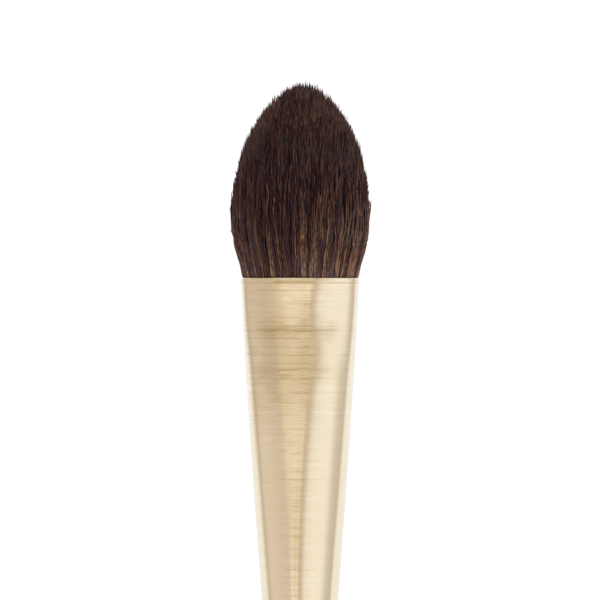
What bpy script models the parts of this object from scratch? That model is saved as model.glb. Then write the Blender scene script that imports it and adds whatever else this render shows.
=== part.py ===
"""A powder brush: a round hair head in a one-piece tapered metal handle.

The brush stands on the flat end of its tail, with its axis on +Z and its
origin at the centre of that end. Heights are measured up from the flat end,
and depths down from the plane of the handle's mouth. Lengths are in metres.
"""

import math
import random

import bmesh
import bpy
from mathutils import Vector

MM = 0.001

# Handle: a drawn cone whose wall is rolled into a lip at the mouth
HANDLE_LENGTH = 116.0 * MM
MOUTH_RADIUS = 11.85 * MM
TAIL_RADIUS = 3.9 * MM
TAPER_POWER = 1.17
SHELL_WALL = 0.5 * MM
LIP_HEIGHT = 1.15 * MM
LIP_PROUD = 0.13 * MM
LIP_ROUND = 0.22 * MM

# End cap: a button with a flat end and a stem in the tail of the handle
CAP_HEIGHT = 4.0 * MM
CAP_EDGE_ROUND = 1.2 * MM
CAP_STEM_LENGTH = 5.0 * MM
CAP_STEM_CHAMFER = 0.5 * MM

# Fillers inside the handle, from the tail up
WEIGHT_LENGTH = 26.0 * MM
FILLER_CHAMFER = 0.6 * MM

# Cup for the potted roots, and what is in it
CUP_HEIGHT = 14.0 * MM
CUP_WALL = 0.6 * MM
CUP_FLOOR = 0.8 * MM
BINDING_HEIGHT = 3.4 * MM
BINDING_THICKNESS = 0.9 * MM
BINDING_ROUND = 0.3 * MM

# Hair head, measured up from the mouth
HAIR_LENGTH = 39.2 * MM
HAIR_WIDEST_RADIUS = 14.2 * MM
HAIR_WIDEST_HEIGHT = 12.8 * MM
FLARE_HEIGHT = 4.0 * MM
SWELL_HEIGHT = 8.0 * MM
FLARE_POWER = 1.6
DOME_POWER = 1.85
DOME_ROUND_POWER = 0.55
GATHER_SHARE = 0.85
ROOT_DEPTH = 0.8 * MM
ROOT_SLICE = 2.0 * MM

# Strands: the backing is a square grid drawn into a disc, a strand to a cell
STRANDS_ACROSS = 19
ROOT_SWIRL = math.radians(24.0)
STRAND_FILL_SHARE = 0.86
STRAND_NECK_SHARE = 0.75
STRAND_POINT_LENGTH = 5.5 * MM
TIP_SCATTER = 1.2 * MM
TIP_SCATTER_SHARE = 0.1
TIP_WANDER_SHARE = 0.3
SCATTER_SEED = 11

# Gap kept between neighbouring pieces
FIT_GAP = 0.3 * MM

# Fineness of the turned pieces
SHOWN_STEPS = 64
HIDDEN_STEPS = 40
TAPER_STATIONS = 9
FILLER_STATIONS = 4
ROUND_STATIONS = 3
MERGE_DISTANCE = 0.00001
SHARP_ANGLE = math.radians(28.0)

# Places that follow from the sizes above
MOUTH_HEIGHT = HANDLE_LENGTH
SHELL_BASE = CAP_HEIGHT + FIT_GAP
STEM_TOP = CAP_HEIGHT + CAP_STEM_LENGTH
WEIGHT_BASE = STEM_TOP + FIT_GAP
WEIGHT_TOP = WEIGHT_BASE + WEIGHT_LENGTH
SLICE_TOP = MOUTH_HEIGHT - ROOT_DEPTH
SLICE_BASE = SLICE_TOP - ROOT_SLICE
CUP_RIM = SLICE_BASE - FIT_GAP
CUP_BASE = CUP_RIM - CUP_HEIGHT
RESIN_BASE = CUP_BASE + CUP_FLOOR + FIT_GAP
DOWEL_BASE = WEIGHT_TOP + FIT_GAP
DOWEL_TOP = CUP_BASE - FIT_GAP

# Finishes: base colour, roughness and metallic value
FINISHES = {
    "dark_brown_hair": ((0.045, 0.022, 0.018), 0.55, 0.0),
    "waxed_thread": ((0.62, 0.56, 0.45), 0.8, 0.0),
    "amber_resin": ((0.42, 0.24, 0.07), 0.25, 0.0),
    "plain_aluminium": ((0.72, 0.72, 0.73), 0.35, 1.0),
    "champagne_gold": ((0.76, 0.63, 0.44), 0.3, 1.0),
    "beech": ((0.6, 0.42, 0.25), 0.7, 0.0),
    "plain_steel": ((0.45, 0.45, 0.46), 0.4, 1.0),
}


def clear_scene():
    """Removes the objects that a new scene starts with."""
    for item in list(bpy.data.objects):
        bpy.data.objects.remove(item)


def finish(name):
    """Returns the named finish as a material."""
    material = bpy.data.materials.get(name)
    if material is None:
        colour, roughness, metallic = FINISHES[name]
        material = bpy.data.materials.new(name)
        material.use_nodes = True
        material.diffuse_color = (*colour, 1.0)
        shader = material.node_tree.nodes["Principled BSDF"]
        shader.inputs["Base Color"].default_value = (*colour, 1.0)
        shader.inputs["Roughness"].default_value = roughness
        shader.inputs["Metallic"].default_value = metallic
    return material


def place(name, mesh, height, material, brush):
    """Adds a piece whose origin lies on the brush's axis at a height."""
    piece = bpy.data.objects.new(name, mesh)
    piece.location = (0.0, 0.0, height)
    piece.parent = brush
    brush.users_collection[0].objects.link(piece)
    mesh.materials.append(finish(material))
    return piece


def turn(name, outline, height, material, brush, steps, ring=False):
    """Turns an outline of (radius, height) points about the brush's axis.

    The outline runs down the outside of the piece. A ring's outline closes on
    itself, and any other starts and ends on the axis.
    """
    points = [(radius, 0.0, level - height) for radius, level in outline]
    edges = [(number, number + 1) for number in range(len(points) - 1)]
    if ring:
        edges.append((len(points) - 1, 0))
    profile = bpy.data.meshes.new(name)
    profile.from_pydata(points, edges, [])
    piece = place(name, profile, height, material, brush)
    screw = piece.modifiers.new("Turn", "SCREW")
    screw.axis = "Z"
    screw.angle = math.tau
    screw.steps = steps
    screw.render_steps = steps
    screw.use_merge_vertices = True
    screw.merge_threshold = MERGE_DISTANCE
    graph = bpy.context.evaluated_depsgraph_get()
    solid = bpy.data.meshes.new_from_object(piece.evaluated_get(graph))
    piece.modifiers.clear()
    piece.data = solid
    bpy.data.meshes.remove(profile)
    solid.name = name
    solid.shade_smooth()
    solid.set_sharp_from_angle(angle=SHARP_ANGLE)
    return piece


def shell_radius(height):
    """Outer radius of the handle's taper, a little fuller than a cone."""
    down = (MOUTH_HEIGHT - height) / (MOUTH_HEIGHT - SHELL_BASE)
    return MOUTH_RADIUS - (MOUTH_RADIUS - TAIL_RADIUS) * max(down, 0.0) ** TAPER_POWER


def bore_radius(height):
    """Inner radius of the handle's wall."""
    return shell_radius(height) - SHELL_WALL


def filler_radius(height):
    """Radius of a piece that fits the handle's bore."""
    return bore_radius(height) - FIT_GAP


def potting_radius(height):
    """Radius of a piece that fits inside the cup."""
    return filler_radius(height) - CUP_WALL - FIT_GAP


def stations(top, base, count):
    """Evenly spaced heights from the top down to the base."""
    return [top + (base - top) * number / count for number in range(count + 1)]


def quarter_round(centre_radius, centre_height, reach, start, end):
    """Points on a quarter circle between two angles, in degrees."""
    points = []
    for angle in stations(start, end, ROUND_STATIONS):
        turned = math.radians(angle)
        radius = centre_radius + reach * math.cos(turned)
        points.append((radius, centre_height + reach * math.sin(turned)))
    return points


def chamfered_filler(top, base):
    """Outline of a solid filler that follows the bore between two heights."""
    outline = [(0.0, top), (filler_radius(top) - FILLER_CHAMFER, top)]
    for level in stations(top - FILLER_CHAMFER, base + FILLER_CHAMFER, FILLER_STATIONS):
        outline.append((filler_radius(level), level))
    outline += [(filler_radius(base) - FILLER_CHAMFER, base), (0.0, base)]
    return outline


def build_handle_shell(brush):
    """The drawn cone: lip, taper and open tail, with an even wall."""
    lip_centre = MOUTH_RADIUS + LIP_PROUD - LIP_ROUND
    lip_base = MOUTH_HEIGHT - LIP_HEIGHT
    outline = quarter_round(lip_centre, MOUTH_HEIGHT - LIP_ROUND, LIP_ROUND, 90.0, 0.0)
    outline += quarter_round(lip_centre, lip_base + LIP_ROUND, LIP_ROUND, 0.0, -45.0)
    outline.append((shell_radius(lip_base), lip_base))
    for level in stations(lip_base, SHELL_BASE, TAPER_STATIONS)[1:]:
        outline.append((shell_radius(level), level))
    for level in stations(SHELL_BASE, MOUTH_HEIGHT, FILLER_STATIONS):
        outline.append((bore_radius(level), level))
    turn("handle_shell", outline, SHELL_BASE, "champagne_gold", brush, SHOWN_STEPS, ring=True)


def build_end_cap(brush):
    """The button at the tail, with its stem in the handle's bore."""
    stem_radius = filler_radius(STEM_TOP)
    edge_centre = TAIL_RADIUS - CAP_EDGE_ROUND
    outline = [
        (0.0, STEM_TOP),
        (stem_radius - CAP_STEM_CHAMFER, STEM_TOP),
        (stem_radius, STEM_TOP - CAP_STEM_CHAMFER),
        (filler_radius(SHELL_BASE), SHELL_BASE),
        (filler_radius(SHELL_BASE), CAP_HEIGHT),
        (TAIL_RADIUS, CAP_HEIGHT),
    ]
    outline += quarter_round(edge_centre, CAP_EDGE_ROUND, CAP_EDGE_ROUND, 0.0, -90.0)
    outline.append((0.0, 0.0))
    turn("end_cap", outline, 0.0, "champagne_gold", brush, SHOWN_STEPS)


def build_balance_weight(brush):
    """The steel slug that rests on the end cap's stem."""
    outline = chamfered_filler(WEIGHT_TOP, WEIGHT_BASE)
    turn("balance_weight", outline, WEIGHT_BASE, "plain_steel", brush, HIDDEN_STEPS)


def build_core_dowel(brush):
    """The wooden filler between the weight and the cup."""
    outline = chamfered_filler(DOWEL_TOP, DOWEL_BASE)
    turn("core_dowel", outline, DOWEL_BASE, "beech", brush, HIDDEN_STEPS)


def build_knot_cup(brush):
    """The thin cup, whose wall follows the handle's bore."""
    floor = CUP_BASE + CUP_FLOOR
    outline = [
        (0.0, floor),
        (filler_radius(floor) - CUP_WALL, floor),
        (filler_radius(CUP_RIM) - CUP_WALL, CUP_RIM),
        (filler_radius(CUP_RIM), CUP_RIM),
        (filler_radius(CUP_BASE + FILLER_CHAMFER), CUP_BASE + FILLER_CHAMFER),
        (filler_radius(CUP_BASE) - FILLER_CHAMFER, CUP_BASE),
        (0.0, CUP_BASE),
    ]
    turn("knot_cup", outline, CUP_BASE, "plain_aluminium", brush, HIDDEN_STEPS)


def binding_band():
    """Top, base, outer and inner radius of the thread band."""
    middle = (CUP_RIM + RESIN_BASE) / 2
    top = middle + BINDING_HEIGHT / 2
    base = middle - BINDING_HEIGHT / 2
    outer = potting_radius(base)
    return top, base, outer, outer - BINDING_THICKNESS


def build_root_resin(brush):
    """The potting plug, waisted where the thread band is tied."""
    top, base, _, inner = binding_band()
    waist = inner - FIT_GAP
    waist_top = top + FIT_GAP
    waist_base = base - FIT_GAP
    outline = [
        (0.0, CUP_RIM),
        (potting_radius(CUP_RIM), CUP_RIM),
        (potting_radius(waist_top), waist_top),
        (waist, waist_top),
        (waist, waist_base),
        (potting_radius(waist_base), waist_base),
        (potting_radius(RESIN_BASE), RESIN_BASE),
        (0.0, RESIN_BASE),
    ]
    turn("root_resin", outline, RESIN_BASE, "amber_resin", brush, HIDDEN_STEPS)


def build_root_binding(brush):
    """The band of thread round the waist of the potting plug."""
    top, base, outer, inner = binding_band()
    corner = outer - BINDING_ROUND
    outline = quarter_round(corner, top - BINDING_ROUND, BINDING_ROUND, 90.0, 0.0)
    outline += quarter_round(corner, base + BINDING_ROUND, BINDING_ROUND, 0.0, -90.0)
    outline += [(inner, base), (inner, top)]
    turn("root_binding", outline, base, "waxed_thread", brush, HIDDEN_STEPS, ring=True)


def hair_spread(height):
    """Radius that the outermost hair keeps at a height above the mouth.

    The hair leaves the mouth clear of the lip, swells to its widest and then
    gathers a little, so that no two strands ever cross.
    """
    mouth = bore_radius(MOUTH_HEIGHT) - FIT_GAP
    if height < FLARE_HEIGHT:
        flared = hair_spread(FLARE_HEIGHT)
        return mouth + (flared - mouth) * height / FLARE_HEIGHT
    if height < HAIR_WIDEST_HEIGHT:
        left = 1 - height / HAIR_WIDEST_HEIGHT
        return HAIR_WIDEST_RADIUS - (HAIR_WIDEST_RADIUS - mouth) * left**FLARE_POWER
    gathered = min((height - HAIR_WIDEST_HEIGHT) / (dome_height(1) - HAIR_WIDEST_HEIGHT), 1)
    return HAIR_WIDEST_RADIUS * (1 - (1 - GATHER_SHARE) * gathered**2)


def dome_height(share):
    """Height above the mouth at which a strand meets the flame's outline.

    The share is the strand's place between the axis and the edge.
    """
    under = 1 - (GATHER_SHARE * share) ** (1 / DOME_ROUND_POWER)
    rise = HAIR_LENGTH - HAIR_WIDEST_HEIGHT
    return HAIR_WIDEST_HEIGHT + rise * under ** (1 / DOME_POWER)


def drawn_into_disc(across, along):
    """Point of the unit disc for a point of the square from -1 to 1.

    Each square ring of the grid becomes a round one, turned a little further
    than the ring inside it, so that no straight gap runs through the hair.
    """
    reach = max(abs(across), abs(along))
    if reach == 0:
        return Vector((0.0, 0.0, 0.0))
    if reach == abs(across):
        angle = math.pi / 4 * along / across
        far_side = across < 0
    else:
        angle = math.pi / 2 - math.pi / 4 * across / along
        far_side = along < 0
    angle += ROOT_SWIRL * reach
    if far_side:
        angle += math.pi
    return Vector((math.cos(angle), math.sin(angle), 0.0)) * reach


def backing_slice(work):
    """Makes the disc that the strands grow from and returns its top faces."""
    bmesh.ops.create_grid(work, x_segments=STRANDS_ACROSS, y_segments=STRANDS_ACROSS, size=1)
    roots = list(work.faces)
    for vertex in work.verts:
        vertex.co = drawn_into_disc(vertex.co.x, vertex.co.y) * hair_spread(-ROOT_DEPTH)
        vertex.co.z = -ROOT_DEPTH
    rim = [edge for edge in work.edges if edge.is_boundary]
    wall = bmesh.ops.extrude_edge_only(work, edges=rim)["geom"]
    for vertex in (item for item in wall if isinstance(item, bmesh.types.BMVert)):
        vertex.co.z -= ROOT_SLICE
    foot = [edge for edge in work.edges if edge.is_boundary]
    bmesh.ops.contextual_create(work, geom=foot)
    bmesh.ops.recalc_face_normals(work, faces=work.faces)
    return roots


def strand_stops(ring, tip):
    """Heights at which a strand has a section, below its point.

    Only the outermost strands show their whole length, so the ones behind
    them take the swell above the mouth in one step.
    """
    swell = [FLARE_HEIGHT, SWELL_HEIGHT] if ring == 0 else []
    return swell + [HAIR_WIDEST_HEIGHT, tip - STRAND_POINT_LENGTH]


def grow_strand(work, root, chance):
    """Draws one cell of the backing up into a strand that ends in a point."""
    centre = root.calc_center_median()
    share = centre.xy.length / hair_spread(-ROOT_DEPTH)
    heading = centre.xy.normalized()
    ring = int((1 - share) * STRANDS_ACROSS / 2)
    tip = dome_height(share + TIP_SCATTER_SHARE * chance.random())
    tip -= TIP_SCATTER * chance.random()
    width = 1
    cap = root
    for stop in strand_stops(ring, tip):
        neck = STRAND_NECK_SHARE if stop > HAIR_WIDEST_HEIGHT else 1
        grown = STRAND_FILL_SHARE * neck * hair_spread(stop) / hair_spread(-ROOT_DEPTH)
        place_at = Vector((*(heading * share * hair_spread(stop)), stop))
        old_centre = cap.calc_center_median()
        cap = bmesh.ops.extrude_discrete_faces(work, faces=[cap])["faces"][0]
        for vertex in cap.verts:
            vertex.co = place_at + (vertex.co - old_centre) * grown / width
        width = grown
    reach = TIP_WANDER_SHARE * math.sqrt(cap.calc_area()) * chance.random()
    wander = chance.uniform(0.0, math.tau)
    point = bmesh.ops.poke(work, faces=[cap])["verts"][0]
    sideways = Vector((math.cos(wander), math.sin(wander))) * reach
    point.co = Vector((*(heading * share * hair_spread(tip) + sideways), tip))


def build_hair_tuft(brush):
    """The hair head: strands that grow from one slice of their potting."""
    chance = random.Random(SCATTER_SEED)
    work = bmesh.new()
    for root in backing_slice(work):
        grow_strand(work, root, chance)
    mesh = bpy.data.meshes.new("hair_tuft")
    work.to_mesh(mesh)
    work.free()
    place("hair_tuft", mesh, MOUTH_HEIGHT, "dark_brown_hair", brush)


def main():
    """Builds the brush, piece by piece."""
    clear_scene()
    pieces = bpy.data.collections.new("powder_brush")
    bpy.context.scene.collection.children.link(pieces)
    brush = bpy.data.objects.new("brush_axis", None)
    pieces.objects.link(brush)
    build_handle_shell(brush)
    build_end_cap(brush)
    build_balance_weight(brush)
    build_core_dowel(brush)
    build_knot_cup(brush)
    build_root_resin(brush)
    build_root_binding(brush)
    build_hair_tuft(brush)


main()
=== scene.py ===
"""Looks of a round powder brush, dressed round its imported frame.

The brush stands on the flat end of its tail, with its axis on +Z, and the
camera looks level along +Y. Lengths are in metres, or in mm where that is
said. A height is measured up from the flat end, and a rise up from the plane
of the handle's mouth.
"""

import logging
import math
from collections.abc import Callable, Mapping, Sequence
from dataclasses import dataclass
from enum import Enum
from typing import Union

import bmesh
import bpy
import numpy as np
from bpy.types import ID, ColorRamp, Material, Mesh, Node, NodeSocket, NodeTree, Object
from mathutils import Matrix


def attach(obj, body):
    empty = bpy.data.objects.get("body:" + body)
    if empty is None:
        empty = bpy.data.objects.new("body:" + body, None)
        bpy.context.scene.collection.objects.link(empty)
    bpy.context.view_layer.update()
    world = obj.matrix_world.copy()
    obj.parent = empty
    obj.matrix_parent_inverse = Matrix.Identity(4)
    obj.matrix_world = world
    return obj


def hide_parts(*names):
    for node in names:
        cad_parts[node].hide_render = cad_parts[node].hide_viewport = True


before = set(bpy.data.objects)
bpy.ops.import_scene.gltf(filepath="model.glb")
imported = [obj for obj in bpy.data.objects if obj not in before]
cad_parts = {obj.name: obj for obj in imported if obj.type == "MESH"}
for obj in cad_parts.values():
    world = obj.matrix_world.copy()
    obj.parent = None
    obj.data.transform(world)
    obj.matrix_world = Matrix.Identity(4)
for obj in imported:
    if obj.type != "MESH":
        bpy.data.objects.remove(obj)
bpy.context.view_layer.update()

MM = 0.001
FULL_TURN = 2 * math.pi
MOUTH_HEIGHT = 116.0 * MM
SHARP_ANGLE = math.radians(34.0)
STRAND_SIDES = 3
HAIR_MAP = "OFBake"
BODY = "root"
SMOOTH = {"interpolation_type": "SMOOTHSTEP"}
LOG = logging.getLogger("powder_brush")

Array = np.ndarray
Span = tuple[float, float]
Triple = tuple[float, float, float]
Colour = Triple
Pairs = Sequence[Span]
Stops = Sequence[tuple[float, Colour]]
Amount = Union["Value", float]
Given = Union["Value", NodeSocket, float, Sequence[float]]
Sockets = Mapping[Union[str, int], Given]


def by_node(operation: str, swapped: bool = False) -> Callable[..., "Value"]:
    """Makes a method of Value that adds a Math node.

    Args:
        operation: what the node does.
        swapped: whether the value comes after the other term.

    Returns:
        The method.
    """

    def add(value: "Value", *others: Amount) -> "Value":
        """Adds the node and returns its result."""
        terms = (*others, value) if swapped else (value, *others)
        return value.sheet.maths(operation, *terms)

    return add


@dataclass(eq=False)
class Value:
    """A shader number, on which the usual operators add Math nodes."""

    sheet: "Sheet"
    socket: NodeSocket

    __add__ = __radd__ = by_node("ADD")
    __sub__, __rsub__ = by_node("SUBTRACT"), by_node("SUBTRACT", True)
    __mul__ = __rmul__ = by_node("MULTIPLY")
    __truediv__, __rtruediv__ = by_node("DIVIDE"), by_node("DIVIDE", True)
    __pow__, __rpow__ = by_node("POWER"), by_node("POWER", True)
    at_least, at_most = by_node("MAXIMUM"), by_node("MINIMUM")
    sine, angle_from, exponential = by_node("SINE"), by_node("ARCTAN2"), by_node("EXPONENT")

    def step(self, low: float, high: float) -> "Value":
        """Returns a smooth step, 0 up to low and 1 from high on."""
        ends = {"Value": self, "From Min": low, "From Max": high}
        return Value(self.sheet, self.sheet.node("ShaderNodeMapRange", ends, **SMOOTH).outputs[0])

    def ring(self, middle: float, half: float) -> "Value":
        """Returns a hump, 1 at middle and about a third at half away from it."""
        off = (self - middle) / half
        return (off * off * -1.0).exponential()


@dataclass
class Sheet:
    """The node tree of one finish, with short ways to add to it."""

    tree: NodeTree

    def node(self, kind: str, sockets: Sockets | None = None, **settings: object) -> Node:
        """Adds any node.

        Args:
            kind: the node's type.
            sockets: a value or a link for each input, by name or number.
            settings: the node's settings, set first; stops are a ramp's.

        Returns:
            The new node.
        """
        made = self.tree.nodes.new(kind)
        for name, setting in settings.items():
            if name == "stops":
                self._set_stops(made.color_ramp, setting)
            else:
                setattr(made, name, setting)
        for name, given in (sockets or {}).items():
            self._feed(made.inputs[name], given)
        return made

    def _set_stops(self, ramp: ColorRamp, stops: Stops) -> None:
        """Gives a ramp its stops.

        Args:
            ramp: the ramp.
            stops: the place and the colour of each.
        """
        while len(ramp.elements) < len(stops):
            ramp.elements.new(1.0)
        for element, (place, colour) in zip(ramp.elements, stops):
            element.position = place
            element.color = (*colour, 1.0)

    def _feed(self, socket: NodeSocket, given: Given) -> None:
        """Links or sets one input.

        Args:
            socket: the input.
            given: what it gets.
        """
        if isinstance(given, Value):
            given = given.socket
        if isinstance(given, NodeSocket):
            self.tree.links.new(given, socket)
        else:
            socket.default_value = (*given, 1.0) if socket.type == "RGBA" else given

    def maths(self, operation: str, *terms: Amount) -> Value:
        """Returns the result of one Math node on the terms."""
        node = self.node("ShaderNodeMath", dict(enumerate(terms)), operation=operation)
        return Value(self, node.outputs[0])

    def parts(self, spot: NodeSocket) -> list[Value]:
        """Returns the three numbers of a vector."""
        split = self.node("ShaderNodeSeparateXYZ", {0: spot})
        return [Value(self, socket) for socket in split.outputs]

    def place(self) -> list[Value]:
        """Returns the three coordinates of a point in the brush's own frame."""
        return self.parts(self.node("ShaderNodeTexCoord").outputs["Object"])

    def noise(self, spot: Sequence[Amount], detail: float = 2.0, rough: float = 0.5) -> Value:
        """Draws a cloudy pattern of wavelength 1.

        Args:
            spot: the three numbers that say where in it a point is.
            detail: how many finer patterns are laid over it.
            rough: how strong those are.

        Returns:
            The pattern, from 0 to 1.
        """
        vector = self.node("ShaderNodeCombineXYZ", dict(enumerate(spot))).outputs[0]
        sockets = {"Vector": vector, "Scale": 1.0, "Detail": detail, "Roughness": rough}
        return Value(self, self.node("ShaderNodeTexNoise", sockets).outputs[0])

    def mix(self, share: Amount, first: Given, second: Given, way: str = "MIX") -> NodeSocket:
        """Returns two colours mixed, where share is how much of the second there is."""
        sockets = {0: share, 6: first, 7: second}
        return self.node("ShaderNodeMix", sockets, data_type="RGBA", blend_type=way).outputs[2]

    def scaled(self, colour: Given, share: Amount) -> NodeSocket:
        """Returns a colour made brighter or darker by a number."""
        sockets = {0: colour, "Scale": share}
        return self.node("ShaderNodeVectorMath", sockets, operation="SCALE").outputs[0]

    def ramp(self, share: Amount, stops: Stops) -> NodeSocket:
        """Returns the colour of a ramp at a share from 0 to 1."""
        return self.node("ShaderNodeValToRGB", {0: share}, stops=stops).outputs[0]

    def relief(self, lift: Value, depth: float) -> NodeSocket:
        """Returns the normal of a surface that is lifted by lift times depth."""
        return self.node("ShaderNodeBump", {"Distance": depth, "Height": lift}).outputs[0]


class Finish:
    """What all finishes share: a name, and one Principled shader to feed."""

    name: str

    def make(self) -> Material:
        """Makes the finish's material.

        Returns:
            The material.
        """
        material = bpy.data.materials.new(self.name)
        material.use_nodes = True
        material.node_tree.nodes.clear()
        sheet = Sheet(material.node_tree)
        shader = sheet.node("ShaderNodeBsdfPrincipled", self.paint(sheet))
        sheet.node("ShaderNodeOutputMaterial", {"Surface": shader.outputs[0]})
        return material

    def paint(self, sheet: Sheet) -> Sockets:
        """Adds the pattern's nodes and returns what feeds the shader's sockets."""
        raise NotImplementedError


@dataclass(frozen=True)
class BrushedMetal(Finish):
    """Pale gold metal with fine lines brushed round the axis.

    The lines are drawn heaviest and darkest in a band on the -Y side: wear with
    painted shade. A slanting edge, which follows the tent's bright reflection, parts
    it from a calmer stretch on the +X side: painted reflection.
    """

    name: str = "champagne_metal"
    tone: Colour = (0.985, 0.88, 0.685)
    worn_and_shaded: Colour = (0.66, 0.53, 0.33)  # in the deeper lines, and where shade is painted
    # height and half height in mm, and strength, of each heavier brushed ring; wear, with painted
    # shade on the -Y side
    rings: Sequence[Triple] = (
        *((115.55, 0.45, 0.35), (112.2, 0.12, 0.15), (110.1, 0.12, 0.2)),
        *((107.1, 0.2, 0.3), (106.4, 0.15, 0.3), (105.75, 0.35, 0.52)),
        *((105.0, 2.0, 0.4), (97.3, 1.2, 0.45), (96.2, 0.2, 0.4)),
    )
    # the same of the painted shade under the lip, on the -Y side only
    lip_shade_ring: Triple = (115.05, 0.6, 0.8)
    # height and half height of the painted shade line under the lip, all round
    lip_shade_line: Span = (114.98 * MM, 0.1 * MM)
    thicker: Span = (62.0 * MM, 100.0 * MM)  # where the brushing gets heavier
    reflection_edge_height: float = 66.0 * MM  # where the edge along the tent's bright reflection crosses the -Y side
    edge_slant: float = 4.5  # how far round it runs for each metre up
    line_starts: Sequence[float] = (0.0, 9.0, 18.0)  # where in the noise each set begins
    roughness: float = 0.1
    line_depth: float = 0.006 * MM
    least_reach: float = 0.01 * MM  # the least distance from the axis that it divides by

    def paint(self, sheet: Sheet) -> Sockets:
        """Draws the brushing.

        Args:
            sheet: the node tree.

        Returns:
            What feeds the shader.
        """
        x, y, height = sheet.place()
        reach = ((x * x + y * y) ** 0.5).at_least(self.least_reach)
        across, along = x / reach, y / reach
        way = (across, along, height)
        higher = height.step(*self.thicker) * 0.72 + 0.28
        lines = sum((self._lines(sheet, way, start) for start in self.line_starts), 0.0)
        lines = lines.at_most(higher * 0.55 + 0.15)
        # painted shade: the brushing is drawn heavier and darker on the -Y side, over its wear
        front_wear_and_shade = (along * -1.0 - across * 0.04).step(0.87, 0.985)
        shaded_front = along * -1.0 - across * 0.1
        patch = self._cloud(sheet, way, 1.4, 60.0).step(0.36, 0.66)
        broken = self._cloud(sheet, way, 2.4, 260.0).step(0.34, 0.66)
        # the rings are drawn darkest towards -Y: wear with painted shade
        rings = (height.ring(at * MM, half * MM) * strength for at, half, strength in self.rings)
        ring = sum(rings, 0.0) * (shaded_front.step(0.62, 0.84) * 0.9 + 0.1) * (broken * 0.85 + 0.5)
        # painted reflection: past an edge that follows the tent's bright reflection the lines are
        # drawn calmer
        aside = across - (height - self.reflection_edge_height) * self.edge_slant
        reflected_calm = aside.step(-0.02, 0.06)
        worked = (patch * 0.5 + 0.25) * higher + front_wear_and_shade * (higher * 0.65 + 0.35) + ring * 1.15
        worked = worked * (1.0 - reflected_calm * 0.45)
        # painted shade under the lip, on the -Y side only
        at, half, strength = self.lip_shade_ring
        ring = ring + height.ring(at * MM, half * MM) * shaded_front.step(0.93, 0.98) * strength
        dash = sheet.noise((31.0, 0.0, height * 1900.0), 1.0).step(0.4, 0.6)
        dash = dash * self._cloud(sheet, way, 4.0, 800.0).step(0.3, 0.62)
        # painted shade: denser, darker lines along the bright reflection's edge on the -Y side
        strip = (1.0 - aside.step(-0.03, 0.02)) * aside.step(-0.3, -0.08) * front_wear_and_shade
        grain = (dash - 0.32) * strip * (higher * 0.5 + 0.5) * 0.42
        grain = grain + (dash - 0.3) * (1.0 - reflected_calm) * higher * 0.18
        # this also adds the painted shade line under the lip, all round
        wear_and_shade = lines * worked + grain + ring * 0.8 + height.ring(*self.lip_shade_line) * 0.7 + 0.24
        return {
            "Base Color": sheet.mix(wear_and_shade.at_least(0.0).at_most(0.95), self.tone, self.worn_and_shaded),
            "Metallic": 1.0,
            "Roughness": lines * worked * 0.05 + ring * 0.08 + self.roughness,
            "Anisotropic": 0.5,
            "Anisotropic Rotation": 0.25,
            "Normal": sheet.relief(lines * worked, self.line_depth),
        }

    def _cloud(self, sheet: Sheet, way: Sequence[Value], turn: float, lift: float) -> Value:
        """Returns a pattern that changes by turn round the axis and by lift up it."""
        across, along, height = way
        return sheet.noise((across * turn, along * turn, height * lift), 1.0)

    def _lines(self, sheet: Sheet, way: Sequence[Value], start: float) -> Value:
        """Draws one set of fine level lines, which fade in and out round the axis.

        Args:
            sheet: the node tree.
            way: sine and cosine of the way round, and the height.
            start: where in the noise this set begins.

        Returns:
            How deep a line is, about 0 on the whole.
        """
        across, along, height = way
        cut = sheet.noise((start, 0.0, height * 780.0), 2.0, 0.8)
        span = sheet.noise((across * 2.3 + start, along * 2.3, height * 900.0))
        deep = (cut - 0.5) * 0.9 + cut.step(0.55, 0.75) * 0.5 - 0.07
        return deep * span.step(0.42, 0.6) * 1.6


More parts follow.
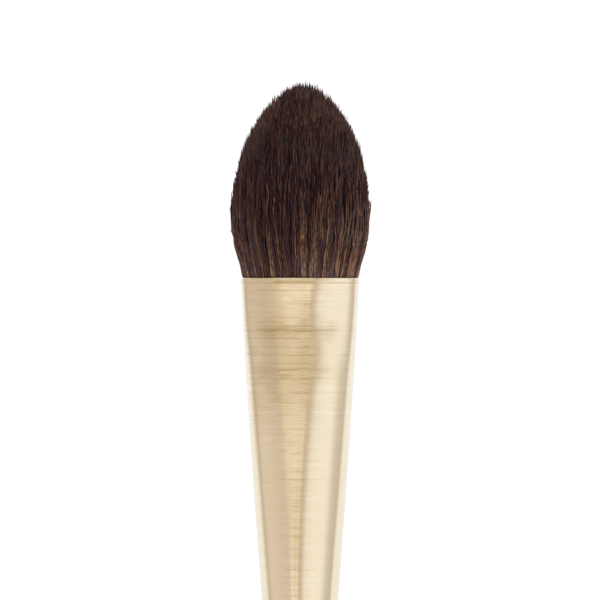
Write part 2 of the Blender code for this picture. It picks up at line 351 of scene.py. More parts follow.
@dataclass(frozen=True)
class NaturalHair(Finish):
    """Dark brown hair with golden and greyish strands among it.

    The piece's map says which strand a point is on, and how far up it is. A
    pattern's scale is how often it changes across the map and up it, and
    where in the noise it begins.
    """

    name: str = "brown_hair"
    golden_from: float = 0.7  # where golden strands start across the map
    golden_edge: float = 0.005  # half the width of the change to them
    darks: Stops = (
        (0.34, (0.02, 0.0095, 0.02)),
        (0.43, (0.032, 0.015, 0.025)),
        (0.5, (0.06, 0.028, 0.027)),
        (0.56, (0.063, 0.037, 0.048)),
        (0.66, (0.14, 0.081, 0.069)),
    )
    golds: Stops = (
        (0.38, (0.052, 0.024, 0.016)),
        (0.5, (0.115, 0.062, 0.034)),
        (0.62, (0.21, 0.135, 0.082)),
    )
    middle: float = 0.485  # what the contrast turns about
    cool: Colour = (0.79, 0.98, 1.2)  # multiplies greyish strands
    warm: Colour = (1.24, 1.0, 0.78)  # multiplies reddish strands
    own: Triple = (160.0, 36.0, 0.0)  # what changes from strand to strand
    patch: Triple = (24.0, 18.0, 3.0)  # what changes from lock to lock
    fine_hue: Triple = (190.0, 14.0, 11.0)
    broad_hue: Triple = (30.0, 15.0, 13.0)
    painted_glint: Triple = (210.0, 60.0, 7.0)  # painted highlights: paler glints up the strands
    shown: Triple = (130.0, 22.0, 5.0)  # where a golden strand shows

    def paint(self, sheet: Sheet) -> Sockets:
        """Draws the strands' colours.

        Args:
            sheet: the node tree.

        Returns:
            What feeds the shader.
        """
        spot = sheet.node("ShaderNodeUVMap", uv_map=HAIR_MAP).outputs[0]
        strand, rise, _ = sheet.parts(spot)

        def cloud(scale: Triple, *detail: float) -> Value:
            """Returns a pattern that is given by its scale."""
            return sheet.noise((strand * scale[0], rise * scale[1], scale[2]), *detail)

        hue = cloud(self.fine_hue, 1.0) * 0.3 + cloud(self.broad_hue, 1.0) * 0.7
        among = (strand / self.golden_from).at_most(1.0)
        kind = cloud(self.own, 3.0, 0.6) * 0.4 + cloud(self.patch, 1.0) * 0.38 + among * 0.15
        kind = kind + (1.0 - rise.step(0.04, 0.24)) * 0.03 + 0.035
        kind = (kind - self.middle) * (rise.step(0.5, 0.8) * 0.3 + 0.85) + self.middle
        edge = self.golden_edge
        golden = strand.step(self.golden_from - edge, self.golden_from + edge)
        # painted light: the head's flanks are drawn paler
        flank_light = among.step(0.5, 0.9) * (1.0 - golden * 0.55)
        golden = golden * (1.0 - rise.step(0.2, 0.45) * 0.7)
        golden = golden * (cloud(self.shown, 1.0).step(0.4, 0.58) * 0.8 + 0.2)
        hair = sheet.mix(golden, sheet.ramp(kind, self.darks), sheet.ramp(kind, self.golds))
        tint = sheet.mix((hue + rise * 0.05 + 0.005).step(0.4, 0.62), self.cool, self.warm)
        hair = sheet.mix(1.0 - golden * 0.4, hair, tint, "MULTIPLY")
        paler = (1.0 - rise.step(0.1, 0.44)) * 0.62 + (1.0 - rise.step(0.05, 0.2)) * 0.62
        paler = paler - rise.step(0.55, 0.85) * 0.1 + flank_light * rise.step(0.2, 0.5) * 0.5
        # painted highlight: short paler glints up the strands
        paler = paler + cloud(self.painted_glint, 1.0).step(0.35, 0.7) * 0.38 + 0.8
        return {
            "Base Color": sheet.scaled(hair, paler),
            "Roughness": 0.45,
            "Specular IOR Level": 0.1,
        }


@dataclass(frozen=True)
class WoundThread(Finish):
    """Waxed thread wound in close turns."""

    name: str = "waxed_thread"
    # painted shade: the turns are drawn darker in their hollows
    hollow_shade: Colour = (0.42, 0.35, 0.25)
    crest: Colour = (0.8, 0.74, 0.62)
    turn_height: float = 0.34 * MM  # how far apart the turns are
    depth: float = 0.08 * MM

    def paint(self, sheet: Sheet) -> Sockets:
        """Draws the turns.

        Args:
            sheet: the node tree.

        Returns:
            What feeds the shader.
        """
        x, y, height = sheet.place()
        turn = y.angle_from(x) / FULL_TURN + height / self.turn_height
        crest = (turn * FULL_TURN).sine() * 0.5 + 0.5
        fuzz = sheet.noise((x * 3000.0, y * 3000.0, height * 9000.0))
        return {
            # painted shade in the hollows between turns
            "Base Color": sheet.mix(crest * 0.7 + fuzz * 0.3, self.hollow_shade, self.crest),
            "Roughness": 0.9 - crest * 0.2,
            "Normal": sheet.relief(crest + fuzz * 0.4, self.depth),
        }


@dataclass(frozen=True)
class CastResin(Finish):
    """Amber adhesive, cast round the roots, with small bubbles."""

    name: str = "amber_resin"
    deep: Colour = (0.42, 0.23, 0.08)
    milky: Colour = (0.68, 0.47, 0.22)
    bubble: Colour = (0.85, 0.72, 0.5)
    depth: float = 0.06 * MM

    def paint(self, sheet: Sheet) -> Sockets:
        """Draws the clouds and bubbles.

        Args:
            sheet: the node tree.

        Returns:
            What feeds the shader.
        """
        x, y, height = sheet.place()
        cloud = sheet.noise((x * 260.0, y * 260.0, height * 400.0), 4.0)
        bubble = sheet.noise((x * 2600.0, y * 2600.0, height * 2600.0), 0.0).step(0.7, 0.78)
        tone = sheet.mix(cloud.step(0.3, 0.7), self.deep, self.milky)
        return {
            "Base Color": sheet.mix(bubble * 0.5, tone, self.bubble),
            "Roughness": cloud * 0.25 + 0.12,
            "Coat Weight": 0.4,
            "Normal": sheet.relief(cloud - bubble * 0.4, self.depth),
        }


@dataclass(frozen=True)
class LathedMetal(Finish):
    """Plain metal with the rings that a lathe leaves."""

    name: str
    tone: Colour
    dull: Colour
    ring_height: float  # about how far apart the rings are
    roughness: float
    depth: float = 0.012 * MM

    def paint(self, sheet: Sheet) -> Sockets:
        """Draws the rings.

        Args:
            sheet: the node tree.

        Returns:
            What feeds the shader.
        """
        x, y, height = sheet.place()
        reach = (x * x + y * y) ** 0.5
        rings = sheet.noise((0.0, reach / self.ring_height, height / self.ring_height))
        bloom = sheet.noise((x * 500.0, y * 500.0, height * 160.0), 3.0)
        return {
            "Base Color": sheet.mix(rings * 0.5 + bloom * 0.5, self.tone, self.dull),
            "Metallic": 1.0,
            "Roughness": rings * 0.2 + bloom * 0.12 + (self.roughness - 0.12),
            "Normal": sheet.relief(rings, self.depth),
        }


@dataclass(frozen=True)
class TurnedBeech(Finish):
    """Pale beech with its grain along the axis and short dark flecks."""

    name: str = "turned_beech"
    dark: Colour = (0.5, 0.33, 0.19)
    light: Colour = (0.78, 0.6, 0.41)
    fleck: Colour = (0.33, 0.19, 0.1)
    depth: float = 0.05 * MM

    def paint(self, sheet: Sheet) -> Sockets:
        """Draws the grain.

        Args:
            sheet: the node tree.

        Returns:
            What feeds the shader.
        """
        x, y, height = sheet.place()
        grain = sheet.noise((x * 900.0, y * 1500.0, height * 45.0), 3.0, 0.6)
        year = sheet.noise((x * 260.0, y * 120.0, height * 9.0), 1.0)
        fleck = sheet.noise((x * 2600.0, y * 2600.0, height * 420.0), 0.0).step(0.66, 0.74)
        wood = sheet.mix(grain * 0.6 + year * 0.4, self.dark, self.light)
        return {
            "Base Color": sheet.mix(fleck * 0.55, wood, self.fleck),
            "Roughness": grain * 0.2 + 0.5,
            "Normal": sheet.relief(grain - fleck * 0.5, self.depth),
        }


@dataclass(frozen=True)
class PaleFloor(Finish):
    """Matt white with a faint glow of its own."""

    name: str = "pale_floor"
    tone: Colour = (0.9, 0.9, 0.9)
    glow: float = 0.24

    def paint(self, sheet: Sheet) -> Sockets:
        """Returns what feeds the shader, the same all over."""
        glow = {"Emission Color": (1.0, 1.0, 1.0), "Emission Strength": self.glow}
        return {"Base Color": self.tone, "Roughness": 0.9, "Specular IOR Level": 0.1, **glow}


@dataclass(frozen=True)
class TentGlow(Finish):
    """The glow of the light tent, which the metal mirrors.

    It is dim in front and bright to the right, with a seam between, and white
    behind. A level is a height in mm, and the way round is in degrees.
    """

    name: str = "tent_glow"
    top_level: float = 104.0  # from here up the glow stays the same
    dim: Colour = (0.68, 0.585, 0.44)
    dimmest: Colour = (0.575, 0.485, 0.355)  # the front's darkest patch
    fair: Colour = (0.94, 0.87, 0.77)  # where the front is bright
    # colours far to the left, low and high
    far_tans: Sequence[Colour] = ((0.76, 0.695, 0.625), (0.66, 0.58, 0.505))
    # colours near to the left, low, high and highest
    near_tans: Sequence[Colour] = ((0.675, 0.61, 0.535), (0.565, 0.49, 0.385), (0.63, 0.56, 0.46))
    # the bright side, at the seam and away from it
    keys: Sequence[Colour] = ((0.6, 0.52, 0.44), (0.985, 0.965, 0.955))
    strip: Colour = (0.69, 0.64, 0.595)  # at the bright side's end
    strip_end: Colour = (0.55, 0.5, 0.46)  # where the strip ends
    rim: Colour = (0.45, 0.4, 0.34)  # before the white on the left
    behind: Colour = (0.96, 0.97, 1.0)

    def paint(self, sheet: Sheet) -> Sockets:
        """Draws the glow.

        Args:
            sheet: the node tree.

        Returns:
            What feeds the shader.
        """
        x, y, height = sheet.place()
        level = (height / MM).at_most(self.top_level).at_least(0.0)
        turn = x.angle_from(y * -1.0) * math.degrees(1.0)
        left = turn * -1.0
        seam = level * level * 0.006 - level.step(75.0, 89.0) * 24.0
        seam = seam - level.step(87.0, 101.0) * 7.0 + level.ring(78.0, 5.5) * 4.5 - 3.0
        past = turn - seam
        end = turn - level * 0.3 - level.step(78.0, 98.0) * 6.0 - 96.5
        lift = (past * (1.0 - level.ring(82.0, 5.0) * 0.45)).step(-0.5, 17.0) * 0.7
        key = sheet.mix(lift + past.step(0.0, 42.0) * 0.3, *self.keys)
        strip = (turn - level * 0.28 - level.step(76.0, 90.0) * 18.0 - 71.0).step(-19.0, 8.0)
        side = sheet.mix(strip, key, self.strip)
        side = sheet.mix(end.ring(-8.0, 7.0) * 0.4, side, self.strip_end)
        lit = sheet.mix(past.step(-5.5, -1.5), self._front(sheet, level, left, past), side)
        rim = left - level * 0.3 - level.step(84.0, 98.0) * 6.0 - 94.0
        lit = sheet.mix(rim.ring(0.0, 6.5) * 0.5, lit, self.rim)
        behind = end.step(-5.0, 6.0) + rim.step(0.0, 20.0)
        return {
            "Base Color": (0.0, 0.0, 0.0),
            "Specular IOR Level": 0.0,
            "Emission Color": sheet.mix(behind.at_most(1.0), lit, self.behind),
            "Emission Strength": 1.0,
        }

    def _front(self, sheet: Sheet, level: Value, left: Value, past: Value) -> NodeSocket:
        """Draws the glow of the camera's side.

        Args:
            sheet: the node tree.
            level: the level.
            left: the way round to the left.
            past: the way past the seam.

        Returns:
            Its colour.
        """
        edge = left - level * 0.1 - level * level * 0.0022 - 24.5
        bright = level.ring(98.0, 9.0) * 0.7 + level.ring(48.0, 9.0) * 0.24
        bright = bright + level.ring(12.0, 14.0) * 0.2 + (1.0 - level.step(10.0, 26.0)) * 0.3
        bright = bright - edge.step(-32.0, -4.0) * level.step(60.0, 90.0) * 0.6
        bright = bright - edge.step(-45.0, -10.0) * level.step(86.0, 94.0) * 0.4
        bright = bright - past.ring(-9.0, 8.0) * level.ring(90.0, 3.5) * 0.5
        bright = bright - past.ring(-10.0, 12.0) * level.ring(78.0, 9.0) * 0.35
        bright = bright - level.ring(70.5, 6.5) * 0.55 + 0.28
        haze = sheet.noise((past / 50.0, 3.0, level / 24.0), 1.0)
        stripe = past.ring(-12.5, 3.0) - past.ring(-20.0, 4.0) * 0.7
        bright = bright + (haze - 0.5) * 0.9 - stripe * (1.0 - level.step(45.0, 62.0)) * 0.16
        dark = sheet.mix(level.ring(76.0, 8.0) * past.ring(-26.0, 12.0), self.dim, self.dimmest)
        centre = sheet.mix(bright.at_least(0.0).at_most(1.0), dark, self.fair)
        far = sheet.mix(level.step(56.0, 78.0), *self.far_tans)
        low, high, highest = self.near_tans
        near = sheet.mix(level.step(56.0, 70.0), low, high)
        near = sheet.mix(level.step(75.0, 92.0), near, highest)
        away = (edge - level.step(48.0, 68.0) * 6.0).step(6.0, 48.0)
        tan = sheet.mix(1.0 - away, far, near)
        return sheet.mix((edge / (level * 0.06 + 2.5)).step(-1.0, 1.0), centre, tan)


@dataclass
class Taper:
    """The drawn cone that the handle, its cap and the roots share."""

    base_height: float = 4.3 * MM  # the cone's open lower end
    mouth_radius: float = 11.85 * MM  # under the lip
    tail_radius: float = 3.9 * MM
    power: float = 1.17  # how the taper quickens towards the tail
    wall: float = 0.5 * MM
    fit_gap: float = 0.3 * MM  # between pieces

    def outside(self, height: float) -> float:
        """Returns the outer radius at a height."""
        down = max((MOUTH_HEIGHT - height) / (MOUTH_HEIGHT - self.base_height), 0.0)
        return self.mouth_radius - (self.mouth_radius - self.tail_radius) * down**self.power

    def bore(self, height: float) -> float:
        """Returns the inner radius at a height."""
        return self.outside(height) - self.wall

    def filler(self, height: float) -> float:
        """Returns the radius of what slides into the bore at a height."""
        return self.bore(height) - self.fit_gap


TAPER = Taper()


def rounded(middle: Span, reach: float, angles: Span, count: int) -> list[Span]:
    """Rounds a corner of an outline.

    Args:
        middle: the radius and height of the corner's centre.
        reach: the corner's own radius.
        angles: the first and last angle in degrees, 0 outwards and 90 up.
        count: how many points there are.

    Returns:
        The points, as pairs of radius and height.
    """
    start, end = angles
    ways = [math.radians(start + (end - start) * step / (count - 1)) for step in range(count)]
    return [(middle[0] + reach * math.cos(a), middle[1] + reach * math.sin(a)) for a in ways]


def turned(name: str, outline: Pairs, steps: int, ring: bool = False) -> Object:
    """Turns an outline round the axis.

    Args:
        name: the piece's name.
        outline: pairs of radius and height, up the outside first.
        steps: how many faces go round.
        ring: whether the last point joins the first one.

    Returns:
        The piece, smooth but for its sharp edges.
    """
    work = bmesh.new()
    turns = [FULL_TURN * step / steps for step in range(steps)]
    rounds = [
        [work.verts.new((reach * math.cos(a), reach * math.sin(a), height)) for a in turns]
        if reach > 0
        else [work.verts.new((0.0, 0.0, height))]
        for reach, height in outline
    ]
    for lower, upper in zip(rounds, rounds[1:] + rounds[: int(ring)]):
        for step in range(steps):
            after = (step + 1) % steps
            corners = [lower[step % len(lower)], lower[after % len(lower)]]
            corners += [upper[after % len(upper)], upper[step % len(upper)]]
            work.faces.new(dict.fromkeys(corners))
    bmesh.ops.recalc_face_normals(work, faces=work.faces)
    mesh = bpy.data.meshes.new(name)
    work.to_mesh(mesh)
    work.free()
    mesh.shade_smooth()
    mesh.set_sharp_from_angle(angle=SHARP_ANGLE)
    return placed(mesh)


def placed(data: ID) -> Object:
    """Puts a mesh, a lamp or a camera into the scene under its own name.

    Args:
        data: the mesh, lamp or camera.

    Returns:
        Its object.
    """
    item = bpy.data.objects.new(data.name, data)
    bpy.context.scene.collection.objects.link(item)
    return item


def coat(piece: Object, finish: Material) -> None:
    """Gives a piece its one material."""
    piece.data.materials.clear()
    piece.data.materials.append(finish)


def dress(piece: Object, finish: Material, slot: str, *nodes: str) -> Object:
    """Gives a new piece its finish and its place in the frame.

    Args:
        piece: the piece.
        finish: its material.
        slot: the record's slot that the finish belongs to; not used.
        nodes: the solids that the piece stands for.

    Returns:
        The piece.
    """
    coat(piece, finish)
    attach(piece, BODY)
    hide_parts(*nodes)
    return piece


@dataclass
class HandleCone:
    """The long cone of brushed metal with its rolled lip."""

    lip_height: float = 1.0 * MM  # the rolled band at the mouth
    lip_proud: float = 0.07 * MM  # how far it stands out
    lip_round: float = 0.2 * MM  # of its upper edges
    under_round: float = 0.06 * MM  # of its lower edge
    under_gap: float = 0.02 * MM  # how far under the band the taper ends
    steps: int = 192
    stations: int = 44  # rings of the taper
    crowding: float = 1.6  # how much closer they stand towards the mouth
    foot_space: float = 0.1 * MM  # how far over the foot the first one is
    lip_space: float = 0.12 * MM  # how far under the band the last one is
    bore_stations: int = 11

    def _outline(self) -> list[Span]:
        """Draws the wall's outline.

        Returns:
            Its points, up the outside and down the bore.
        """
        lip_base = MOUTH_HEIGHT - self.lip_height
        lip_radius = TAPER.mouth_radius + self.lip_proud
        half = TAPER.wall / 2
        foot = (TAPER.outside(TAPER.base_height) - half, TAPER.base_height + half)
        outline = rounded(foot, half, (-90.0, 0.0), 5)
        low, high = foot[1] + self.foot_space, lip_base - self.lip_space
        for step in range(self.stations):
            left = (1 - step / (self.stations - 1)) ** self.crowding
            height = high - (high - low) * left
            outline.append((TAPER.outside(height), height))
        outline.append((TAPER.outside(lip_base), lip_base - self.under_gap))
        under = self.under_round
        outline += rounded((lip_radius - under, lip_base + under), under, (-80.0, 0.0), 4)
        top, edge = MOUTH_HEIGHT - self.lip_round, self.lip_round
        outline += rounded((lip_radius - edge, top), edge, (0.0, 90.0), 7)
        outline += rounded((TAPER.bore(MOUTH_HEIGHT) + edge, top), edge, (90.0, 180.0), 5)
        for step in range(1, self.bore_stations + 1):
            height = top + (foot[1] - top) * step / self.bore_stations
            outline.append((TAPER.bore(height), height))
        return outline

    def build(self) -> list[Object]:
        """Returns the handle's piece."""
        cone = turned("handle_cone", self._outline(), self.steps, ring=True)
        return [dress(cone, BrushedMetal().make(), "handle_metal", "handle_shell")]


@dataclass
class TailCap:
    """The button that closes the tail, with its stem in the bore."""

    height: float = 4.0 * MM
    edge_round: float = 1.2 * MM  # of its lower edge
    top_round: float = 0.25 * MM  # of its upper edge
    stem_top: float = 9.0 * MM
    stem_chamfer: float = 0.5 * MM
    steps: int = 128

    def build(self) -> list[Object]:
        """Builds and dresses the cap.

        Returns:
            Its one piece.
        """
        edge, top, chamfer = self.edge_round, self.top_round, self.stem_chamfer
        radius, neck = TAPER.tail_radius, TAPER.filler(TAPER.base_height)
        stem, flat = TAPER.filler(self.stem_top), radius - edge
        outline = [(flat * share, 0.0) for share in (0.0, 0.3, 0.6, 0.9)]
        outline += rounded((flat, edge), edge, (-90.0, 0.0), 12)
        outline += rounded((radius - top, self.height - top), top, (0.0, 90.0), 6)
        outline += [(neck, self.height), (stem, self.stem_top - chamfer)]
        outline += [(stem - chamfer, self.stem_top), (0.0, self.stem_top)]
        finish = BrushedMetal(name="cap_metal", rings=()).make()
        return [dress(turned("tail_cap", outline, self.steps), finish, "cap_metal", "end_cap")]


@dataclass
class RootSlice:
    """The top of the adhesive that the hair comes out of."""

    top: float = 0.8 * MM  # how far its top lies under the mouth
    depth: float = 2.0 * MM
    dish: float = 0.25 * MM  # how far its middle is sunk
    steps: int = 96

    def build(self) -> list[Object]:
        """Builds and dresses the slice.

        Returns:
            Its one piece.
        """
        high, low = MOUTH_HEIGHT - self.top, MOUTH_HEIGHT - self.top - self.depth
        radius = TAPER.filler(low)
        outline = [(0.0, low), (radius, low), (radius, high)]
        for share in (0.96, 0.8, 0.6, 0.3, 0.0):
            outline.append((radius * share, high - self.dish * (1 - share**4)))
        finish = CastResin(name="root_adhesive").make()
        return [dress(turned("root_slice", outline, self.steps), finish, "resin", "hair_tuft")]


class Layer(Enum):
    """The hair's layers, as the shares of the head's radius that they fill."""

    HEART = (0.0, 0.52)
    BODY = (0.52, 0.8)
    COAT = (0.8, 0.93)
    FRINGE = (0.93, 1.0)


@dataclass
class HairHead:
    """The flame-shaped head of hair. Its lengths are in mm."""

    # rise and radius of the outermost hair, up to the widest place
    outline: Pairs = (
        *((-2.0, 11.05), (-0.9, 11.05), (-0.25, 11.2), (0.0, 11.35), (0.4, 11.6)),
        *((1.2, 11.75), (2.4, 11.95), (3.6, 12.3), (4.8, 12.65), (6.0, 12.95)),
        *((7.2, 13.2), (8.4, 13.4), (10.0, 13.6), (12.8, 13.7)),
    )
    # rise and radius of the surface that the tips lie on
    dome: Pairs = (
        *((13.5, 13.75), (15.6, 13.6), (18.0, 13.3), (20.4, 13.0), (22.8, 12.4)),
        *((25.2, 11.75), (27.6, 10.95), (30.0, 9.75), (32.4, 8.2), (34.8, 6.3)),
        *((36.0, 5.1), (37.0, 3.9), (38.0, 2.3), (38.7, 1.1), (39.0, 0.0)),
    )
    gather: float = 0.16  # how far the hair draws in again by the tip, as a share
    strands: int = 10500
    thickness: float = 0.142  # radius of a common strand
    thick_range: Span = (0.7, 1.35)  # what that is multiplied by
    tip_length: float = 1.8  # over which a strand thins to its tip
    tip_share: float = 0.55  # how much of its thickness is left there
    # wavelength and height of the tips' unevenness
    ragged: Pairs = ((0.8, 0.42), (3.0, 0.15))
    lag: float = 0.4  # how far tips stay back on average, from half as far over the dome
    over_share: float = 0.55  # how much is left of what would rise over the dome
    short_share: float = 0.3  # share of the fringe's strands that end early
    short_rises: Span = (2.5, 15.0)  # where those end
    lock_width: float = 0.45  # of a lock, whose strands run together
    lock_share: float = 0.75  # of strands that run with their lock
    swings: Span = (0.055, 0.11)  # swing aside near the mouth and farther up
    swing_waves: Pairs = ((3.5, 8.0), (9.0, 22.0))  # shortest and longest of both
    lean: float = 2.6  # how far apart locks lean aside at a rise of 20
    lean_stray: float = 0.25  # how far strands stray from that
    proud: float = 0.12  # how far strands stray in or out of their place
    flare: Span = (-0.15, 0.55)  # how far tips turn out
    clump: Span = (0.9, 0.06)  # wavelength and size of the stray near the mouth
    stray: Span = (2.0, 0.12)  # the same farther up
    aside: float = 0.42  # how far the head bends towards +X by its tip
    bend_from: float = 14.0
    bend_length: float = 22.0
    waves: int = 9  # how many a random field is made of
    map_low: float = 2.0  # how far under the mouth the map begins
    map_length: float = 42.0
    map_share: float = 0.92  # how much of its height the rises take
    map_shift: float = 0.08  # how far strands are shifted up it at most
    map_sides: float = 0.0012  # how far apart a strand's sides lie across it
    seed: int = 23

    def __post_init__(self) -> None:
        """Finds the widest rise and the peak and starts the random draws."""
        self.widest, self.peak = self.outline[-1][0], self.dome[-1][0]
        self.chance = np.random.default_rng(self.seed)

    def build(self) -> list[Object]:
        """Builds and dresses the head.

        Returns:
            One piece for each of its layers.
        """
        finish = NaturalHair().make()
        meshes = [self._layer_mesh(layer) for layer in Layer]
        return [dress(placed(mesh), finish, "hair", "hair_tuft") for mesh in meshes]

    def _spread(self, rise: Array) -> Array:
        """Returns how far out the head's outermost strand runs at each rise."""
        gathered = np.clip((rise - self.widest) / (self.peak - self.widest), 0, 1.2)
        return np.interp(rise, *zip(*self.outline)) * (1 - self.gather * gathered**2)

    def _waves(self, root: Array, rise: Array | float, length: float) -> Array:
        """Draws a smooth random field of about unit size.

        Args:
            root: the two coordinates of each root.
            rise: the rise.
            length: about how long the field's waves are.

        Returns:
            The field at each point.
        """
        across, along = root
        total = np.zeros(np.broadcast(across, rise).shape)
        for _ in range(self.waves):
            turn, phase = self.chance.uniform(0, FULL_TURN, 2)
            pitch = FULL_TURN / (length * self.chance.uniform(0.7, 1.6))
            lean = self.chance.normal(0, 0.2) * pitch
            line = across * math.cos(turn) + along * math.sin(turn)
            total += np.sin(pitch * line + lean * rise + phase)
        return total / 2.1

    def _tips(self, layer: Layer, share: Array, root: Array) -> tuple[Array, Array]:
        """Draws where the strands end.

        Args:
            layer: their layer.
            share: how far out each is rooted, as a share.
            root: the two coordinates of each root.

        Returns:
            The rise of each tip, and whether it is an early one.
        """
        count, peak = len(share), self.peak
        rises = np.linspace(self.dome[0][0], peak, 400)
        shares = np.interp(rises, *zip(*self.dome)) / self._spread(rises)
        tip = np.interp(share, shares[::-1], rises[::-1])
        for length, size in self.ragged:
            tip += self._waves(root, 0.0, length) * size
        tip -= self.chance.exponential(self.lag, count) - self.lag / 2
        tip = np.minimum(tip, peak + (tip - peak) * self.over_share)
        early = (self.chance.uniform(0, 1, count) < self.short_share) & (layer is Layer.FRINGE)
        return np.where(early, self.chance.uniform(*self.short_rises, count), tip), early

    def _drawn(self, root: Array) -> Array:
        """Draws four numbers from 0 to 1 for each strand, mostly shared by all of its lock.

        Args:
            root: the two coordinates of each root.

        Returns:
            Four rows of numbers.
        """
        column, row = np.floor(root / self.lock_width)
        pitches = np.array([[12.9898], [78.233], [37.719], [53.117]])
        scatter = np.abs(np.sin((column * 131 + row * 977) * pitches) * 43758.5453)
        alone = self.chance.uniform(0, 1, scatter.shape)
        together = self.chance.uniform(0, 1, root.shape[1]) < self.lock_share
        return np.where(together, np.modf(scatter)[0], alone)

    def _stops(self, layer: Layer, tip: Array) -> Array:
        """Spaces the points that the strands run through.

        Args:
            layer: their layer.
            tip: the rise of each tip.

        Returns:
            The rises of each strand's points.
        """
        if layer is Layer.FRINGE:
            low, climb = [-1.1, -0.2, 0.35, 1.3, 2.6, 4.2], np.linspace(0, 1, 12)[1:]
        elif layer is Layer.COAT:
            low, climb = [-1.1, 0.2, 2.0, 4.0], np.linspace(0, 1, 8)[1:]
        else:
            low, climb = [-1.1, 1.0], np.array([0.35, 0.62, 0.78, 0.87, 0.95, 1.0])
        low = np.array(low) * np.clip(tip[:, None] / 9.0, 0.3, 1.0)
        return np.concatenate([low, low[:, -1:] + (tip[:, None] - low[:, -1:]) * climb], axis=1)

    def _freedom(self, stops: Array) -> tuple[Array, Array]:
        """Returns how freely strands swing near the mouth and farther up, from 0 to 1."""
        return np.clip((stops + 0.6) / 3.0, 0, 1), np.clip(stops / 12.0, 0, 1) ** 0.8

    def _swing(self, stops: Array, drawn: Array) -> tuple[Array, Array]:
        """Draws how far the strands swing aside.

        Args:
            stops: the rises of each strand's points.
            drawn: the four numbers drawn for each.

        Returns:
            How far each point is aside, and how far each strand is twisted.
        """
        near, far = self._freedom(stops)
        count = len(stops)
        phase = FULL_TURN * drawn[:3, :, None] + self.chance.normal(0, 0.3, (3, count, 1))
        swing = np.zeros(stops.shape)
        for free, size, (low, high), own, start in zip(
            (near, far), self.swings, self.swing_waves, drawn[1:3, :, None], phase
        ):
            swing += free * size * np.sin(FULL_TURN * stops / (low + (high - low) * own) + start)
        lean = (drawn[3] - 0.5) * self.lean + self.chance.normal(0, self.lean_stray, count)
        return swing + far * lean[:, None] * stops / 20, phase[2] * 7.0

    def _radius(self, share: Array, tip: Array, early: Array, stops: Array) -> Array:
        """Draws how far out the strands run.

        Args:
            share: how far out each is rooted, as a share.
            tip: the rise of each tip.
            early: whether it is an early one, which reaches the outside.
            stops: the rises of each strand's points.

        Returns:
            The radius of each point.
        """
        count, share = len(tip), share[:, None]
        proud = self.chance.normal(0, self.proud, count)[:, None]
        edge = self._spread(stops)
        radius = share * edge + self._freedom(stops)[1] * proud * (1.05 - share**8)
        flare = early[:, None] * (edge - radius) + self.chance.uniform(*self.flare, (count, 1))
        return radius + flare * np.clip(1 - (tip[:, None] - stops) / self.tip_length, 0, 1) ** 1.5

    def _layer_mesh(self, layer: Layer) -> Mesh:
        """Draws all the strands of a layer.

        Args:
            layer: the layer.

        Returns:
            Their mesh.
        """
        low, high = layer.value
        count = int(self.strands * (high**2 - low**2))
        share = np.sqrt(self.chance.uniform(low**2, high**2, count))
        angle = self.chance.uniform(0, FULL_TURN, count)
        reach = share * self._spread(np.zeros(1))[0]
        root = np.stack([reach * np.cos(angle), reach * np.sin(angle)])
        tip, early = self._tips(layer, share, root)
        drawn = self._drawn(root)
        stops = self._stops(layer, tip)
        swing, twist = self._swing(stops, drawn)
        radius = self._radius(share, tip, early, stops)
        heading = angle[:, None] + swing / np.maximum(radius, 2.0)
        near, far = self._freedom(stops)
        spots = []
        for way in (np.cos(heading), np.sin(heading)):
            clump = self._waves(root[:, :, None], 0.0, self.clump[0]) * self.clump[1]
            stray = self._waves(root[:, :, None], stops, self.stray[0]) * self.stray[1]
            spots.append(radius * way + near * clump + far * stray)
        bend = np.clip((stops - self.bend_from) / self.bend_length, 0, 1) ** 1.3
        spots[0] += self.aside * (0.15 + bend)
        left = np.clip((tip[:, None] - stops) / self.tip_length, 0, 1)
        thin = self.tip_share + (1 - self.tip_share) * left**0.7
        wide = self.thickness * self.chance.uniform(*self.thick_range, (count, 1)) * thin
        tone = self._tones(root, angle, drawn[0])
        return self._mesh_of(layer, np.stack([*spots, stops], 2), wide, twist, tone)

    def _tones(self, root: Array, angle: Array, own: Array) -> Array:
        """Places the strands across the map, with one side of the head more golden.

        Args:
            root: the two coordinates of each root.
            angle: the way round to it.
            own: a number drawn for each strand.

        Returns:
            Each strand's place.
        """
        # painted light: strands on the flanks, the left more than the right, take paler places on
        # the map
        flank_light = np.abs(np.cos(angle)) ** np.where(np.cos(angle) < 0, 1.8, 3.0)
        flank_light *= 0.95 - 0.42 * np.cos(angle)
        golden = 0.25 + 0.5 * np.exp(-((np.cos(angle + 0.25) - 1) ** 2) / 0.25)
        common = own < 1 - golden
        within = np.where(common, own / (1 - golden), (own - 1 + golden) / golden)
        patch = 0.5 + 0.3 * np.tanh(self._waves(root, 0.0, 2.5) * 0.8) + 0.4 * (flank_light - 0.3)
        place = np.clip(0.86 * patch + 0.14 * within, 0.01, 0.99)
        return np.where(common, 0.69 * place, 0.71 + 0.28 * place)

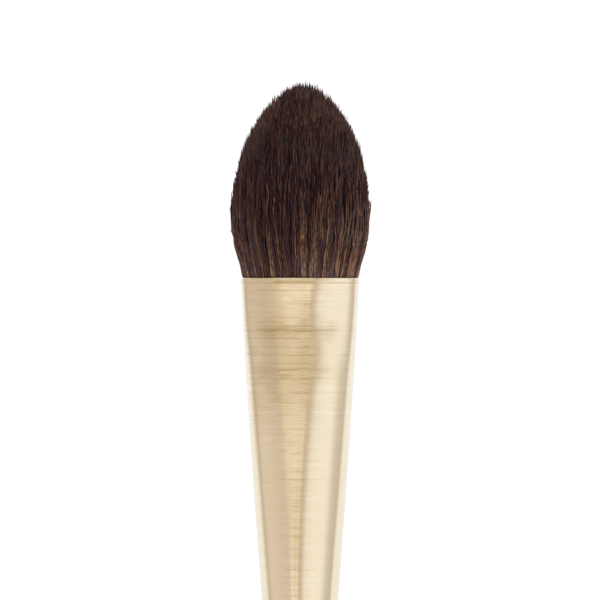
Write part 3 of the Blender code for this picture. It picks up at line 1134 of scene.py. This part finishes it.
    def _mesh_of(self, layer: Layer, path: Array, wide: Array, twist: Array, tone: Array) -> Mesh:
        """Skins the strands and lays their map, the strand across it and the rise up it.

        Args:
            layer: the layer they belong to.
            path: strand by strand, the points it runs through.
            wide: the radius at each of those points.
            twist: the angle of each strand's first side.
            tone: each strand's place across the map.

        Returns:
            The mesh.
        """
        count, stops = path.shape[:2]
        turn = twist + np.arange(STRAND_SIDES) * FULL_TURN / STRAND_SIDES
        ring = np.stack([np.cos(turn), np.sin(turn), np.zeros_like(turn)], 2)
        body = path[:, :-1, None, :] + wide[:, :-1, None, None] * ring[:, None]
        each = (stops - 1) * STRAND_SIDES + 1
        points = np.concatenate([body.reshape(count, -1, 3), path[:, -1:]], axis=1)
        points = points.reshape(-1, 3)
        first = np.arange(count)[:, None] * each
        quads, ends = [], []
        for low in range(0, (stops - 2) * STRAND_SIDES, STRAND_SIDES):
            for side in range(STRAND_SIDES):
                edge = np.array([low + side, low + (side + 1) % STRAND_SIDES])
                quads.append(first + np.concatenate([edge, edge[::-1] + STRAND_SIDES]))
        top = (stops - 2) * STRAND_SIDES
        for side in range(STRAND_SIDES):
            ends.append(first + np.array([top + side, top + (side + 1) % STRAND_SIDES, each - 1]))
        ends.append(first + np.array([2, 1, 0]))
        faces = np.concatenate(quads).tolist() + np.concatenate(ends).tolist()
        mesh = bpy.data.meshes.new("hair_" + layer.name.lower())
        mesh.from_pydata((points * MM + (0, 0, MOUTH_HEIGHT)).tolist(), [], faces)
        mesh.shade_smooth()
        side = np.arange(len(points)) % each % STRAND_SIDES
        shift = np.repeat(self.chance.uniform(0.0, self.map_shift, count), each)
        up = np.clip((points[:, 2] + self.map_low) / self.map_length, 0, 1) * self.map_share + shift
        spots = np.stack([np.repeat(tone, each) + (side - 1) * self.map_sides, up], 1)
        corners = np.empty(len(mesh.loops), np.int32)
        mesh.loops.foreach_get("vertex_index", corners)
        chart = mesh.uv_layers.new(name=HAIR_MAP)
        chart.uv.foreach_set("vector", spots[corners].astype(np.float32).ravel())
        return mesh


@dataclass
class InnerWorks:
    """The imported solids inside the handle, which keep their own shapes."""

    cup: LathedMetal = LathedMetal(
        "spun_cup", (0.8, 0.8, 0.81), (0.62, 0.62, 0.64), ring_height=0.25 * MM, roughness=0.3
    )
    weight: LathedMetal = LathedMetal(
        "turned_steel", (0.6, 0.6, 0.61), (0.42, 0.42, 0.43), ring_height=0.18 * MM, roughness=0.34
    )

    def build(self) -> list[Object]:
        """Dresses the solids.

        Returns:
            The solids.
        """
        finishes = {
            "root_binding": WoundThread(),
            "root_resin": CastResin(),
            "knot_cup": self.cup,
            "core_dowel": TurnedBeech(),
            "balance_weight": self.weight,
        }
        for name, finish in finishes.items():
            coat(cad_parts[name], finish.make())
        return [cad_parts[name] for name in finishes]


@dataclass
class Studio:
    """Camera, floor and soft light."""

    camera_height: float = 111.6 * MM
    camera_distance: float = 800.0 * MM  # from the axis
    lens: float = 240.0  # in mm, as the sensor
    sensor: float = 36.0
    tent_radius: float = 200.0 * MM
    tent_height: float = 400.0 * MM
    tent_steps: int = 96
    floor_radius: float = 600.0 * MM
    floor_steps: int = 128
    lamp_place: Triple = (-0.12, -0.05, 0.6)
    lamp_size: float = 0.36
    lamp_energy: float = 0.38  # in watts
    fill: Colour = (0.55, 0.52, 0.48)  # the light from all sides
    fill_strength: float = 1.08

    def set_up(self) -> None:
        """Sets the camera first, then the floor and the lights."""
        self._camera()
        self._floor()
        self._tent()
        self._lamp()
        self._world()
        bpy.context.scene.view_settings.view_transform = "Standard"

    def _camera(self) -> None:
        """Aims a long lens level at the brush."""
        data = bpy.data.cameras.new("camera")
        data.sensor_width, data.lens = self.sensor, self.lens
        data.clip_start, data.clip_end = 0.01, 20.0
        camera = placed(data)
        camera.location = (0.0, -self.camera_distance, self.camera_height)
        camera.rotation_euler = (math.pi / 2, 0.0, 0.0)
        bpy.context.scene.camera = camera

    def _floor(self) -> None:
        """Lays a plain pale floor."""
        floor = turned("floor", [(0.0, 0.0), (self.floor_radius, 0.0)], self.floor_steps)
        coat(floor, PaleFloor().make())

    def _tent(self) -> None:
        """Stands a wall of soft light round the brush, unseen by the camera."""
        wall = [(self.tent_radius, 0.0), (self.tent_radius, self.tent_height)]
        tent = turned("light_tent", wall, self.tent_steps)
        coat(tent, TentGlow().make())
        tent.visible_camera = tent.visible_shadow = False

    def _lamp(self) -> None:
        """Hangs one soft round lamp over the brush."""
        data = bpy.data.lights.new("top_light", "AREA")
        data.shape, data.size, data.energy = "DISK", self.lamp_size, self.lamp_energy
        lamp = placed(data)
        lamp.location = self.lamp_place
        lamp.visible_camera = False

    def _world(self) -> None:
        """Shows plain white behind the brush and gives a dim warm fill."""
        world = bpy.data.worlds.new("studio")
        world.use_nodes = True
        world.node_tree.nodes.clear()
        sheet = Sheet(world.node_tree)
        seen = sheet.node("ShaderNodeLightPath").outputs["Is Camera Ray"]
        tone = sheet.mix(Value(sheet, seen), self.fill, (1.0, 1.0, 1.0))
        sockets = {"Color": tone, "Strength": self.fill_strength}
        back = sheet.node("ShaderNodeBackground", sockets)
        sheet.node("ShaderNodeOutputWorld", {"Surface": back.outputs[0]})
        bpy.context.scene.world = world


def main() -> None:
    """Builds the studio and the brush, and reports each piece."""
    logging.basicConfig(level=logging.INFO, format="%(message)s")
    Studio().set_up()
    for assembly in (HandleCone(), TailCap(), RootSlice(), HairHead(), InnerWorks()):
        for piece in assembly.build():
            LOG.info("%s: %d faces", piece.name, len(piece.data.polygons))


if __name__ == "__main__":
    main()
